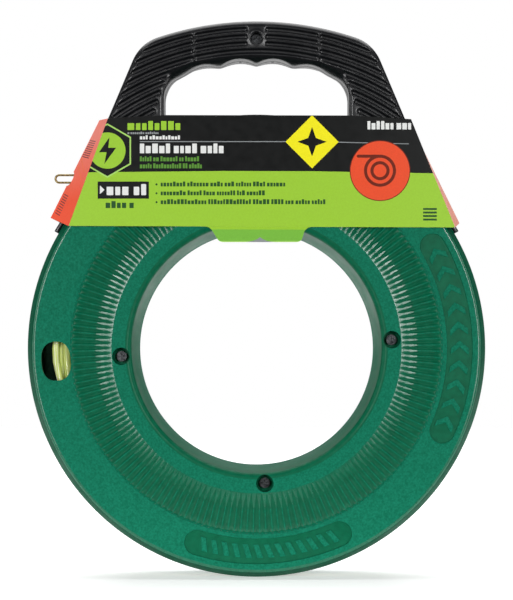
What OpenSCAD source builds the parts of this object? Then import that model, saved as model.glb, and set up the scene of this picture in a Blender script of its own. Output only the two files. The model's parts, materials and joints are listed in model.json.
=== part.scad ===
// Fish tape reel: a round two-shell case that turns inside a fixed handle and pays out nylon tape.
// The reel stands upright: the case axis is Y, the front faces -Y and the handle is on top (+Z).
// Every sub-part is drawn flat on a bench, x to the right, y up and z towards the front, then set upright.

/* [Case] */
// Radius of the case at its rim
case_r = 165; // [164:0.5:166]
// Radius of the round opening through the hub
hub_r = 85; // [84:0.5:86]
// Length of the straight land in the hub opening
hub_land = 8; // [6:1:10]
// Half of the case's thickness
case_half = 28.5; // [28:0.5:30]
// Wall thickness of the two shells
wall = 2.6; // [2:0.1:3]
// Half of the width of the slot around the rim
slot_half = 7; // [6.5:0.1:7.5]
// Depth of the fluted band below the inner band
flute_band_drop = 2.2; // [1.5:0.1:2.6]
// Depth of the outer band below the inner band
outer_band_drop = 0.9; // [0.4:0.1:1.2]

/* [Window and badges] */
// Angle of the tape window
window_angle = 183.75; // [180:0.25:190]
// Radius from the case axis to the window's centre
window_at_r = 143.1; // [142:0.1:144]
// Radius of the window's round ends
window_r = 13.9; // [13:0.1:14.5]
// Width of the window between its straight sides
window_w = 20.9; // [19:0.1:22]
// Depth of the badge recesses in the outer band
badge_depth = 0.8; // [0.5:0.1:1]

/* [Case screws] */
// Radius of the circle of case screws
screw_circle_r = 96.6; // [96:0.1:98]
// Angle of the first case screw
screw_angle = 3.5; // [0:0.5:10]
// Radius of the screw recess
recess_r = 6.2; // [6:0.1:6.5]
// Height of the screw seat above the middle plane
seat_z = 19; // [18:0.5:20]

/* [Tape] */
// Diameter of the nylon tape
tape_d = 4.76; // [4.6:0.02:4.8]
// Outer radius of the wound tape
coil_r = 143.5; // [142:0.5:144]
// Turns side by side in one layer
turns_across = 9; // [8:1:9]
// Layers of turns
layers = 4; // [3:1:4]
// Height at which the tape leaves the handle
exit_up = 123.2; // [122:0.1:124]
// Bend radius of the tape on its way out
lead_bend_r = 80; // [70:5:90]

/* [Handle] */
// Height of the top of the grip above the case axis
grip_top = 235.9; // [234:0.1:238]
// Radius of the grip's top curve
grip_curve_r = 226; // [220:1:232]
// Radius of the grip's shoulders
shoulder_r = 30; // [28:1:32]
// Lean of the legs from upright
leg_lean = 23; // [22:0.5:24]
// Half of the handle's depth
handle_half = 15; // [14:0.5:16]
// Spacing of the finger grooves
groove_pitch = 23.5; // [22:0.1:24]
// Radius of each finger groove
groove_r = 23; // [22:0.5:24]
// Half of the width of the finger opening
opening_half = 67; // [65:0.5:68]
// Radial thickness of the saddle over the rim
saddle_t = 3.6; // [3:0.1:4]
// Half of the angle that the saddle spans
saddle_half_angle = 60; // [58:1:61]

/* [Card sleeve] */
// Thickness of the card
card_t = 0.6; // [0.5:0.1:0.8]
// Gap between the case and the card
card_gap = 0.4; // [0.3:0.1:0.6]

/* [Hidden] */
$fn = 96;

green = "#17724f";
black = "#191b1d";
nylon = "#d5e08a";
brass = "#8a7340";
steel = "#2a2b2d";
lime = "#9ed034";
orange = "#f2604a";

// Clearances, and how far a cutter runs past what it cuts
rim_clear = 0.4;
fit_gap = 0.05;
bond_gap = 0.02;
turn_gap = 0.3;
past = 1;

// Case section
rim_band_top = 12.3;
hub_round_r = 4.2;
hub_face_r = 93.2;
inner_band_r = 103.2;
flute_in_r = 114.7;
flute_out_r = 131.8;
outer_band_r = 132.6;
edge_round_r = 2.5;
edge_centre_r = 157.9;
ease = 0.6;
draft_angle = 25;
outer_band_z = case_half - outer_band_drop;
flute_z = case_half - flute_band_drop;
hub_joint = hub_land / 2;
badge_in = 135.7;
badge_out = 153.9;
badge_right = [-27, 33];
badge_low = [250, 297];

// Screws
head_r = 3.7;
head_h = 3;
shank_r = 2;
case_shank = 33;
clear_r = 2.2;
pilot_r = 2.05;
boss_r = 4.6;
tube_wall = 1;
cross_l = 4.6;
cross_w = 1.1;
cross_depth = 1.2;
seat_t = 2.5;
pilot_spare = 2;
grip_seat_z = 5;
grip_shank = 13;
grip_pilot_l = 10;

// Tape route
turn_r = coil_r - tape_d / 2;
inner_turn_r = coil_r - (layers - 0.5) * tape_d;
coil_half = turns_across * tape_d / 2;
tail_z = -tape_d;
anchor_angle = screw_angle - 90;
anchor_reach = 20;
anchor_stub = 4.5;
anchor_span = inner_turn_r + screw_circle_r;
tail_r = (anchor_span * anchor_span - anchor_reach * anchor_reach) / (2 * anchor_span);
tail_offset = inner_turn_r - tail_r;
tail_start = acos(tail_r / (screw_circle_r + tail_offset));
guide_in = -100;
guide_out = -125;
lead_angle = atan(-guide_in / (exit_up + lead_bend_r))
    - acos((turn_r + lead_bend_r) / norm([guide_in, exit_up + lead_bend_r]));
lead_bend_end = [guide_in + lead_bend_r * sin(lead_angle), exit_up + lead_bend_r * (1 - cos(lead_angle))];
lead_touch = turn_r * [-sin(lead_angle), cos(lead_angle)];
lead_straight = norm(lead_touch - lead_bend_end);
lead_wrap = 30;

// Fittings
wire_r = 0.78;
eyelet_half = 3.5;
eyelet_tip = -147.2;
ferrule_r = 4.2;
ferrule_l = 4.8;
collar_r = 6;
collar_t = 1.2;
guide_r = 4.5;
guide_bore_r = 2.7;
nozzle_r = 7;
spot_l = 14;
spot_gap = 0.4;
tip_socket = 3;
tip_gap = 0.2;
nozzle_l = 14;
eye_ring_r = 5.9;
eye_stem_l = 8;
eye_plug_l = 5;
end_ferrule_wall = 0.9;
ferrule_from = 11;

// Handle outline
saddle_in = case_r + rim_clear;
saddle_out = saddle_in + saddle_t;
neck_half = slot_half - rim_clear;
flange_out = case_r - wall - rim_clear;
flange_in = flange_out - 4.5;
flange_half = 11.2;
saddle_half = 9;
grip_chamfer = 4;
grip_centre = grip_top - grip_curve_r;
leg_normal = [-cos(leg_lean), sin(leg_lean)];
leg_along = [sin(leg_lean), cos(leg_lean)];
leg_line = 163.5;
shoulder_in = leg_line - shoulder_r - leg_normal[1] * grip_centre;
shoulder_across = sqrt(pow(grip_curve_r - shoulder_r, 2) - shoulder_in * shoulder_in);
shoulder_at = leg_normal * shoulder_in + leg_along * shoulder_across;
shoulder_from = atan2(shoulder_at[1], shoulder_at[0]);
foot_r = saddle_out - 1.2;
foot_along = sqrt(foot_r * foot_r - leg_line * leg_line);
leg_cut_r = saddle_in + 0.9;
corner_r = 17;
corner_up = 180.5;
opening_top = 199.5;
groove_deep_up = 208.5;
groove_side_up = 205;
rib_centre = 20;
rib_first_r = 209.5;
rib_pitch = 5.2;
rib_slot_half = 1.45;
rib_slot_depth = 2.4;
grip_screw_up = 223.4;
grip_recess_r = 4.25;
leg_screw_at = [98, 150];

// Card sleeve: corners of the two flat panels, the bow of their upper edge and the flaps' side creases
card_z = case_half + card_gap;
card_panel = [[-133.5, 86.8], [141.2, 85.7], [109.9, 162.7], [-105.6, 163.3]];
card_bow = [[68, 165.3], [-64, 165.6]];
left_crease = [[-149.7, 94.8], [-114.1, 166]];
right_crease = [[147.5, 91], [110.8, 165.7]];
exit_hole_r = 5;
tab_top = [-36.7, 39.5];
tab_foot = [-26, 30.9];
tab_drop = 10.7;
tab_tilt = 10;

function arc(centre, r, from, to, steps = 8) =
    [for (i = [0:steps]) let (a = from + (to - from) * i / steps) centre + r * [cos(a), sin(a)]];
function flip(points) = [for (p = points) [-p[0], p[1]]];
function turned(points) = [for (i = [len(points) - 1:-1:0]) points[i]];

module upright() {
    rotate([90, 0, 0]) children();
}

module around(r, angle) {
    rotate(angle) translate([r, 0]) children();
}

module ring_sector(r_in, r_out, z_low, z_high, from, to) {
    rotate(from)
        rotate_extrude(angle = to - from)
            translate([r_in, z_low]) square([r_out - r_in, z_high - z_low]);
}

// ---- Case ----

// Half of the case's section, from the hub joint round the face to the lip of the rim slot
module shell_section(land) {
    edge = arc([edge_centre_r, outer_band_z - edge_round_r], edge_round_r, 90, draft_angle, 5);
    outside = concat(
        [[hub_r, -land], [hub_r, hub_joint]],
        arc([hub_face_r, case_half - hub_round_r], hub_round_r, 180, 90, 6),
        [[inner_band_r, case_half], [flute_in_r, flute_z]],
        [[flute_out_r, flute_z], [outer_band_r, outer_band_z]],
        edge,
        [[case_r, rim_band_top], [case_r, slot_half]]
    );
    inside = [
        [case_r - wall, slot_half],
        [case_r - wall, rim_band_top - ease],
        [edge_centre_r, outer_band_z - wall - ease],
        [edge_centre_r - 2 * ease, outer_band_z - wall],
        [outer_band_r + ease, outer_band_z - wall],
        [flute_out_r, flute_z - wall],
        [flute_in_r, flute_z - wall],
        [inner_band_r, case_half - wall - ease],
        [hub_face_r + ease, case_half - wall - ease],
        [hub_face_r - 2 * ease, case_half - wall - 4 * ease],
        [hub_r + wall, hub_joint],
        [hub_r + wall, -land]
    ];
    polygon(concat(outside, inside));
}

module shell_ring(land) {
    rotate_extrude($fn = 180) shell_section(land);
}

module badge_recess(from, to) {
    ring_sector(badge_in, badge_out, outer_band_z - badge_depth, case_half, from, to);
}

module window_cut() {
    around(window_at_r, window_angle)
        translate([0, 0, flute_z - 2 * wall])
            intersection() {
                cylinder(r = window_r, h = 4 * wall);
                translate([-window_w / 2, -window_r - past, 0])
                    cube([window_w, 2 * (window_r + past), 4 * wall]);
            }
}

module case_front_shell() {
    color(green) upright() difference() {
        union() {
            shell_ring(hub_joint);
            for (i = [0:3]) around(screw_circle_r, screw_angle + 90 * i) {
                translate([0, 0, seat_z - seat_t])
                    cylinder(r = recess_r + tube_wall, h = case_half - wall - ease / 2 - seat_z + seat_t);
                cylinder(r = boss_r, h = seat_z);
            }
        }
        for (i = [0:3]) around(screw_circle_r, screw_angle + 90 * i) {
            translate([0, 0, seat_z]) cylinder(r = recess_r, h = case_half);
            translate([0, 0, -past]) cylinder(r = clear_r, h = case_half);
        }
        translate([0, 0, -case_half]) cylinder(r = hub_r, h = 2 * case_half, $fn = 180);
        window_cut();
        badge_recess(badge_right[0], badge_right[1]);
        badge_recess(badge_low[0], badge_low[1]);
    }
}

module case_rear_shell() {
    color(green) upright() difference() {
        union() {
            mirror([0, 0, 1]) shell_ring(-hub_joint);
            for (i = [0:3]) around(screw_circle_r, screw_angle + 90 * i)
                translate([0, 0, wall - case_half]) cylinder(r = boss_r, h = case_half - wall);
        }
        for (i = [0:3]) around(screw_circle_r, screw_angle + 90 * i)
            translate([0, 0, seat_z - case_shank - pilot_spare]) cylinder(r = pilot_r, h = case_half);
    }
}

// A pan-head screw with a cross recess: the underside of its head is at z = 0
module screw(shank) {
    difference() {
        cylinder(r = head_r, h = head_h);
        for (turn = [0, 90]) rotate(turn)
            translate([-cross_l / 2, -cross_w / 2, head_h - cross_depth]) cube([cross_l, cross_w, head_h]);
    }
    translate([0, 0, -shank]) cylinder(r = shank_r, h = shank + past);
}

module case_screws() {
    color(steel) upright()
        for (i = [0:3]) around(screw_circle_r, screw_angle + 90 * i)
            translate([0, 0, seat_z]) screw(case_shank);
}

// ---- Tape ----

// The wound tape; its last turn, in the outer layer, and its first turn lie in grooves of their own
module tape_coil() {
    groove = tape_d / 2 + turn_gap;
    coil_in = coil_r - layers * tape_d;
    color(nylon) upright() difference() {
        ring_sector(coil_in, coil_r, -coil_half, coil_half, 0, 360);
        ring_sector(coil_r - tape_d - turn_gap, coil_r + past, -groove, groove, 0, 360);
        ring_sector(coil_in - past, inner_turn_r + groove, tail_z - groove, tail_z + groove, 0, 360);
    }
}

// A flat stretch of tape along a route, whose points are [x, y, direction of the tape there]
module tape_along(route) {
    sides = 12;
    last = len(route) - 1;
    points = [for (p = route) for (k = [0:sides - 1])
        let (across = tape_d / 2 * cos(360 * k / sides), up = tape_d / 2 * sin(360 * k / sides))
        [p[0] - across * sin(p[2]), p[1] + across * cos(p[2]), up]];
    walls = [for (i = [0:last - 1]) for (k = [0:sides - 1]) let (n = (k + 1) % sides)
        [i * sides + k, i * sides + n, (i + 1) * sides + n, (i + 1) * sides + k]];
    near_end = [for (k = [sides - 1:-1:0]) k];
    far_end = [for (k = [0:sides - 1]) last * sides + k];
    polyhedron(points, concat(walls, [near_end, far_end]));
}

// The inner end's way from its ferrule round into the innermost layer, with the anchoring boss at angle 0
function tail_route() = concat(
    [tail_point(tail_start) - anchor_stub * [-sin(tail_start), cos(tail_start), 0]],
    [for (i = [0:14]) tail_point(tail_start + (180 - tail_start) * i / 14)]
);
function tail_point(a) = [tail_r * cos(a) - tail_offset, tail_r * sin(a), 90 + a];

module tape_inner_tail() {
    color(nylon) upright() rotate(anchor_angle) translate([0, 0, tail_z]) tape_along(tail_route());
}

// The straight stretch from the tail to the screw boss, with x along it and the boss at x = 0
module anchor_line() {
    rotate(anchor_angle) translate([screw_circle_r, 0, tail_z]) rotate(90 + tail_start) children();
}

module inner_end_ferrule() {
    color(brass) upright() anchor_line() translate([ferrule_from, 0, 0]) rotate([0, 90, 0]) difference() {
        cylinder(r = tape_d / 2 + end_ferrule_wall, h = anchor_reach - ferrule_from);
        translate([0, 0, -past]) cylinder(r = tape_d / 2 + fit_gap, h = anchor_reach);
    }
}

module inner_end_eye() {
    color(brass) upright() anchor_line() {
        rotate_extrude() translate([eye_ring_r, 0]) circle(r = wire_r, $fn = 32);
        translate([eye_ring_r, 0, 0]) rotate([0, 90, 0]) cylinder(r = wire_r, h = eye_stem_l);
        translate([ferrule_from - past, 0, 0]) rotate([0, 90, 0]) cylinder(d = tape_d, h = eye_plug_l);
    }
}

// The tape's way from the guide to the coil: a bend, a straight and a wrap in the coil's outer groove
function lead_route() = concat(
    [for (i = [0:5]) let (a = lead_angle * i / 5)
        [guide_in + lead_bend_r * sin(a), exit_up + lead_bend_r * (1 - cos(a)), a]],
    [for (i = [0:6]) let (a = lead_angle - lead_wrap * i / 6)
        [-turn_r * sin(a), turn_r * cos(a), a]]
);

module tape_lead() {
    color(nylon) upright() tape_along(lead_route());
}

module along_exit(from, length, r) {
    translate([from, exit_up]) rotate([0, 90, 0]) cylinder(r = r, h = length, $fn = 48);
}

module tape_end() {
    start = guide_out - collar_t - tip_socket;
    color(nylon) upright() along_exit(start, guide_in - turn_gap - start, tape_d / 2);
}

module tip_ferrule() {
    face = guide_out - collar_t - tip_gap;
    color(brass) upright() difference() {
        along_exit(face - ferrule_l, ferrule_l, ferrule_r);
        along_exit(guide_out - collar_t - tip_socket, ferrule_l, tape_d / 2 + bond_gap);
    }
}

module pulling_eyelet() {
    bend_r = eyelet_half - wire_r;
    bend_x = eyelet_tip + eyelet_half;
    leg = guide_out - collar_t - tip_gap - ferrule_l - bend_x;
    color(brass) upright() translate([bend_x, exit_up]) {
        rotate(90) rotate_extrude(angle = 180) translate([bend_r, 0]) circle(r = wire_r, $fn = 32);
        for (side = [-1, 1]) translate([0, side * bend_r]) rotate([0, 90, 0])
            cylinder(r = wire_r, h = leg, $fn = 32);
    }
}

module tape_exit_guide() {
    color(steel) upright() difference() {
        union() {
            along_exit(guide_out, guide_in - guide_out, guide_r);
            along_exit(guide_out - collar_t, collar_t, collar_r);
        }
        along_exit(guide_out - collar_t - past, guide_in - guide_out + collar_t + 2 * past, guide_bore_r);
    }
}

// ---- Handle ----

// The left side of the grip's outline, from the top of the grip down to the foot of the leg
function grip_side(inset) = concat(
    arc([0, grip_centre], grip_curve_r - inset, 90, shoulder_from, 8),
    arc(shoulder_at + [0, grip_centre], shoulder_r - inset, shoulder_from, 180 - leg_lean, 8),
    [leg_normal * (leg_line - inset) + leg_along * foot_along]
);

module grip_outline(inset) {
    polygon(concat(grip_side(inset), turned(flip(grip_side(inset)))));
}

// The grip and legs as one solid slab with a chamfered front edge
module grip_slab() {
    hull() {
        linear_extrude(handle_half - grip_chamfer) grip_outline(0);
        linear_extrude(handle_half) grip_outline(grip_chamfer);
    }
}

module finger_opening() {
    side = concat([[-opening_half, 0], [-opening_half, corner_up]],
        arc([corner_r - opening_half, corner_up], corner_r, 180, 105, 5),
        [[-2 * groove_pitch, opening_top]]);
    polygon(concat(side, turned(flip(side))));
    for (i = [-1.5:1:1.5]) {
        up = abs(i) > 1 ? groove_side_up : groove_deep_up;
        translate([i * groove_pitch, up - groove_r]) circle(r = groove_r, $fn = 64);
    }
}

// Curved slots that give the grip its ribs: four rows run on over the top, the rest end on the legs
module rib_slots() {
    inner_x = [47, 47, 47, 47, 63.2, 66.9, 70.1, 71.9, 74.2];
    outer_x = [82, 87, 90.5, 94, 97.5, 100.5, 103.5, 106, 108.5];
    strip = 4;
    boss_x = 8;
    for (i = [0:8]) {
        r = rib_first_r - i * rib_pitch;
        for (side = [-1, 1]) {
            from = acos(outer_x[i] / r);
            to = acos(inner_x[i] / r);
            slot_arc(r, side > 0 ? from : 180 - to, side > 0 ? to : 180 - from);
            if (i < 3) {
                strip_end = acos((inner_x[i] - strip) / r);
                slot_arc(r, side > 0 ? strip_end : 90 + asin(boss_x / r),
                    side > 0 ? 90 - asin(boss_x / r) : 180 - strip_end);
            }
        }
    }
    last_r = rib_first_r - 3 * rib_pitch;
    last_end = acos((inner_x[3] - strip) / last_r);
    slot_arc(last_r, last_end, 180 - last_end);
}

module slot_arc(r, from, to) {
    translate([0, rib_centre, handle_half - rib_slot_depth])
        ring_sector(r - rib_slot_half, r + rib_slot_half, 0, rib_slot_depth + past, from, to);
}

// The saddle over the rim, its neck through the rim slot and the flange that runs inside the case
module saddle() {
    low = 90 - saddle_half_angle;
    high = 90 + saddle_half_angle;
    ring_sector(saddle_in, saddle_out, 0, saddle_half, low, high);
    ring_sector(flange_out - past, saddle_in + past, 0, neck_half, low + 2, high - 2);
    ring_sector(flange_in, flange_out, 0, flange_half, low + 2, high - 2);
}

module handle_half_body() {
    difference() {
        union() {
            difference() {
                grip_slab();
                translate([0, 0, -past]) linear_extrude(handle_half + 2 * past) finger_opening();
                translate([0, 0, -past]) cylinder(r = leg_cut_r, h = handle_half + 2 * past, $fn = 180);
            }
            saddle();
            intersection() {
                along_exit(guide_out, nozzle_l, nozzle_r);
                translate([guide_out - past, exit_up - 2 * nozzle_r, 0])
                    cube([nozzle_l + 2 * past, 4 * nozzle_r, 2 * nozzle_r]);
            }
        }
        rib_slots();
        along_exit(guide_out - past, guide_in - guide_out + 2 * nozzle_r, guide_r + fit_gap);
        along_exit(guide_out - spot_l, spot_l, collar_r + spot_gap);
    }
}

module handle_screw_places() {
    translate([0, grip_screw_up]) children();
    for (side = [-1, 1]) translate([side * leg_screw_at[0], leg_screw_at[1]]) children();
}

module handle_front_half() {
    color(black) upright() difference() {
        handle_half_body();
        handle_screw_places() {
            translate([0, 0, grip_seat_z]) cylinder(r = grip_recess_r, h = handle_half);
            translate([0, 0, -past]) cylinder(r = clear_r, h = handle_half);
        }
    }
}

module handle_rear_half() {
    color(black) upright() difference() {
        mirror([0, 0, 1]) handle_half_body();
        handle_screw_places()
            translate([0, 0, grip_seat_z - grip_shank - past]) cylinder(r = pilot_r, h = grip_pilot_l);
    }
}

module grip_screw() {
    color(steel) upright() translate([0, grip_screw_up, grip_seat_z]) screw(grip_shank);
}

module leg_screws() {
    color(steel) upright()
        for (side = [-1, 1])
            translate([side * leg_screw_at[0], leg_screw_at[1], grip_seat_z]) screw(grip_shank);
}

// ---- Card sleeve ----

module card_panel_slab() {
    linear_extrude(card_t)
        polygon([card_panel[0], card_panel[1], card_panel[2], each card_bow, card_panel[3]]);
}

module card_front_panel() {
    color(lime) upright() translate([0, 0, card_z]) card_panel_slab();
}

// The tab below the front panel, bent back into the hub opening
module card_front_tab() {
    lift = (card_panel[0][1] + card_panel[1][1]) / 2 - card_t;
    color(lime) upright() translate([0, lift, card_z + card_t]) rotate([tab_tilt, 0, 0])
        translate([0, 0, -card_t]) linear_extrude(card_t)
            polygon([[tab_top[0], 0], [tab_foot[0], -tab_drop], [tab_foot[1], -tab_drop], [tab_top[1], 0]]);
}

module card_rear_panel() {
    color(lime) upright() translate([0, 0, -card_z - card_t]) card_panel_slab();
}

// A flap from one edge of the front panel to the crease in the middle plane: side is -1 at the left
module card_flap(edge, crease, side) {
    inner = [for (p = [[edge[0], card_z], [edge[1], card_z], [crease[1], 0], [crease[0], 0]])
        [p[0][0], p[0][1], p[1]]];
    outer = [for (p = inner) p + [side * card_t, 0, 0]];
    sides = [[0, 1, 2], [0, 2, 3], [6, 5, 4], [7, 6, 4]];
    rim = [for (k = [0:3]) let (n = (k + 1) % 4) each [[k, k + 4, n + 4], [k, n + 4, n]]];
    faces = concat(sides, rim);
    difference() {
        polyhedron(concat(inner, outer), side < 0 ? faces : [for (f = faces) turned(f)]);
        along_exit(crease[0][0] * 1.1, 40, exit_hole_r);
    }
}

module left_flap() {
    card_flap([card_panel[0], card_panel[3]], left_crease, -1);
}

module right_flap() {
    card_flap([card_panel[1], card_panel[2]], right_crease, 1);
}

module card_left_front_flap() {
    color(orange) upright() left_flap();
}

module card_left_rear_flap() {
    color(orange) upright() mirror([0, 0, 1]) left_flap();
}

module card_right_front_flap() {
    color(orange) upright() right_flap();
}

module card_right_rear_flap() {
    color(orange) upright() mirror([0, 0, 1]) right_flap();
}

case_front_shell();
case_rear_shell();
case_screws();
tape_coil();
tape_inner_tail();
inner_end_ferrule();
inner_end_eye();
tape_lead();
tape_end();
tip_ferrule();
pulling_eyelet();
tape_exit_guide();
handle_front_half();
handle_rear_half();
grip_screw();
leg_screws();
card_front_panel();
card_front_tab();
card_rear_panel();
card_left_front_flap();
card_left_rear_flap();
card_right_front_flap();
card_right_rear_flap();
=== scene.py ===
"""The looks of the fish tape reel: the case shells, the wound tape, the grip and the card sleeve.

Shapes are worked out in bench millimetres, x to the right, y up and z to the front, with the case's
axis along z, and upright() sets them into the frame.
"""
import json
import math
import random

import bpy
import numpy as np
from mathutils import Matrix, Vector
from mathutils.geometry import delaunay_2d_cdt


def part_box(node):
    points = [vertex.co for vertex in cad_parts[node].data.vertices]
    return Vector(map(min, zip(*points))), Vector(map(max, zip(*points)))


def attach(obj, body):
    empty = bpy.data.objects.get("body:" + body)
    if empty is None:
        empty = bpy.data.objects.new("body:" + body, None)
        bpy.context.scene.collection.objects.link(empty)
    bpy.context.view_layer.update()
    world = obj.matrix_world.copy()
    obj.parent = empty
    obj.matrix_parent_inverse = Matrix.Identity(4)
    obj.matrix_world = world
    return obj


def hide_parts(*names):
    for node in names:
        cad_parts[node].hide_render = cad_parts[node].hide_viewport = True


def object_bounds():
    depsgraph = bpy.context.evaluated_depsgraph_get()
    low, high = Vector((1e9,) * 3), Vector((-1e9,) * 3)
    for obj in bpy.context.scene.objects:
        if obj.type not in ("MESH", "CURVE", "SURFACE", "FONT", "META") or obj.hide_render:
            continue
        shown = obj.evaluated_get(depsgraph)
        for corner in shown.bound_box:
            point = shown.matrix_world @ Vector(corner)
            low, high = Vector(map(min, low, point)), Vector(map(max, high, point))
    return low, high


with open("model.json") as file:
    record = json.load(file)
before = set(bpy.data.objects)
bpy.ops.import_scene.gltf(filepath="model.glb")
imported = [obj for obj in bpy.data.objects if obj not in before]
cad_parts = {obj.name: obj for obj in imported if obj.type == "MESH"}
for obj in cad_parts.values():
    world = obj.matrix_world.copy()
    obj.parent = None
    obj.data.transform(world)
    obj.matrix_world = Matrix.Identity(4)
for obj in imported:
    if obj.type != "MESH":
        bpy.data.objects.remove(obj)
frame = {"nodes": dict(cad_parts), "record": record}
cad_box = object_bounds()

MM = 0.001
draw = random.Random(7)


def node_size(node):
    """Lowest and highest corner of a CAD node in bench millimetres."""
    low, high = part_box(node)
    return np.array([low.x, low.z, -high.y]) / MM, np.array([high.x, high.z, -low.y]) / MM


def node_points(node):
    """The points of a CAD node's mesh along the frame's axes, in millimetres."""
    return np.array([v.co for v in frame["nodes"][node].data.vertices]) / MM


def mount_size(name, key):
    mounts = frame["record"]["mounts"]
    return next(m for m in mounts if m["name"] == name)["dims"][key]


# ---- Sizes, in bench millimetres ----

CASE_R, _, CASE_HALF = node_size("case_front_shell")[1]
HUB_R = mount_size("hub_opening", "r_mm")
HUB_LAND = mount_size("hub_opening", "length_mm") / 2
WALL = 2.6
HUB_ROUND = 4.2
HUB_FACE_R = 93.2
INNER_BAND_R = 103.2
FLUTE_IN_R = 114.7
FLUTE_OUT_R = 131.8
OUTER_BAND_R = 132.6
EDGE_R = 157.9
EDGE_ROUND = 2.5
DRAFT = 25
FLUTE_Z = CASE_HALF - 2.2
BAND_Z = CASE_HALF - 0.9
RIM_BAND_Z = 12.3
RIM_SLOT_Z = 7.0

PITCHES = 180
RIB_W = 0.6
FLUTE_DEPTH = 1.1
GROOVE_COLUMNS = (-1.0, -0.6, -0.2, 0.2, 0.6, 1.0)
EVEN_SPREAD = 0.72
LAND_TAPER = 0.6
RIB_SHARP = 36

SCREW_R = 96.6
SCREW_ANGLE = 3.5
SCREW_HOLE_R = 2.2
RECESS_R = 6.2
HEAD_H = 3.0
SEAT_Z = node_size("case_screws")[1][2] - HEAD_H
WELL_WALL = 1.0
WINDOW_AT = (143.1, 183.75)
WINDOW_R = 13.9
WINDOW_HALF = 10.45
BADGE_IN, BADGE_OUT = 135.7, 153.9
BADGE_Z = BAND_Z - 0.8
BADGE_RIGHT = (-24, 30)
BADGE_LOW = (253, 294)

TAPE_R = 2.38
COIL_R = node_size("tape_coil")[1][0]
TURN_R = COIL_R - TAPE_R
LAYERS = 4
TURNS_ACROSS = 9
EXIT_UP = sum(node_size("tape_end")[i][1] for i in (0, 1)) / 2

_, GRIP_TOP, HANDLE_HALF = node_size("handle_front_half")[1]
GRIP_CURVE_R = 226
GRIP_CENTRE = GRIP_TOP - GRIP_CURVE_R
SHOULDER_R = 30
LEG_LEAN = 23
LEG_LINE = 163.5
GRIP_SCREW_UP = 223.4
HANDLE_SCREWS = ((0, GRIP_SCREW_UP), (-98, 150), (98, 150))
SADDLE_IN, SADDLE_OUT, SADDLE_Z = CASE_R + 0.4, CASE_R + 4.0, 9.0
FLANGE_IN, FLANGE_OUT, FLANGE_Z = CASE_R - 7.5, CASE_R - 3, 11.2
NECK_Z = 6.6

CARD_Z = node_size("card_front_panel")[1][2]
CARD_T = 0.6


# ---- Mesh helpers ----

def upright(points):
    p = np.asarray(points, float).reshape(-1, 3)
    return np.column_stack((p[:, 0], -p[:, 2], p[:, 1])) * MM


def polar(r, angle):
    a = math.radians(angle)
    return np.array([r * math.cos(a), r * math.sin(a)])


def arc(centre, r, start, end, steps):
    a = np.radians(np.linspace(start, end, steps + 1))
    return np.column_stack((centre[0] + r * np.cos(a), centre[1] + r * np.sin(a)))


def put_in_scene(name, data):
    made = bpy.data.objects.new(name, data)
    bpy.context.scene.collection.objects.link(made)
    return made


def new_mesh(name, points, faces, materials, indices=None, sharp=35):
    mesh = bpy.data.meshes.new(name)
    mesh.from_pydata(upright(points).tolist(), [], [list(map(int, f)) for f in faces])
    for material in materials:
        mesh.materials.append(material)
    if indices is not None:
        mesh.polygons.foreach_set("material_index", np.asarray(indices, np.int32))
    mesh.validate()
    piece = put_in_scene(name, mesh)
    soften(piece, sharp)
    return piece


def soften(piece, sharp):
    """Smooth shading, with edges kept sharp where they turn by more than an angle in degrees."""
    mesh = piece.data
    mesh.shade_smooth()
    mesh.update()
    work = [[] for _ in mesh.edges]
    keys = {k: i for i, k in enumerate(mesh.edge_keys)}
    for p in mesh.polygons:
        for k in p.edge_keys:
            work[keys[k]].append(p.index)
    normals = np.zeros(len(mesh.polygons) * 3)
    mesh.polygons.foreach_get("normal", normals)
    normals = normals.reshape(-1, 3)
    flags = np.zeros(len(mesh.edges), bool)
    edge, a, b = np.array([(i, *w) for i, w in enumerate(work) if len(w) == 2]).T
    flags[edge] = (normals[a] * normals[b]).sum(1) < math.cos(math.radians(sharp))
    attribute = mesh.attributes.get("sharp_edge") or mesh.attributes.new("sharp_edge", "BOOLEAN", "EDGE")
    attribute.data.foreach_set("value", flags)


def settle(piece, body, slot, *nodes):
    """The piece rides on its body and stands for CAD nodes, which it hides; slot is not used."""
    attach(piece, body)
    if nodes:
        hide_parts(*nodes)


def apply_modifiers(piece):
    view = bpy.context.evaluated_depsgraph_get()
    view.update()
    mesh = bpy.data.meshes.new_from_object(piece.evaluated_get(view), depsgraph=view)
    piece.modifiers.clear()
    piece.data = mesh


def boolean(piece, other, operation):
    modifier = piece.modifiers.new("cut", "BOOLEAN")
    modifier.operation = operation
    modifier.solver = "MANIFOLD"
    modifier.object = other
    apply_modifiers(piece)
    bpy.data.objects.remove(other)


def stacked(loops):
    """A closed solid through outlines of equal length: loops are ((x, y) rows, z), the lowest first."""
    n = len(loops[0][0])
    points = np.vstack([np.column_stack((np.asarray(o), np.full(n, z))) for o, z in loops])
    faces = [list(range(n))[::-1], [(len(loops) - 1) * n + i for i in range(n)]]
    for k in range(len(loops) - 1):
        for i in range(n):
            j = (i + 1) % n
            faces.append([k * n + i, k * n + j, (k + 1) * n + j, (k + 1) * n + i])
    return points, faces


def joined(solids):
    points, faces, base = [], [], 0
    for p, f in solids:
        points.append(p)
        faces += [[i + base for i in face] for face in f]
        base += len(p)
    return np.vstack(points), faces


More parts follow.
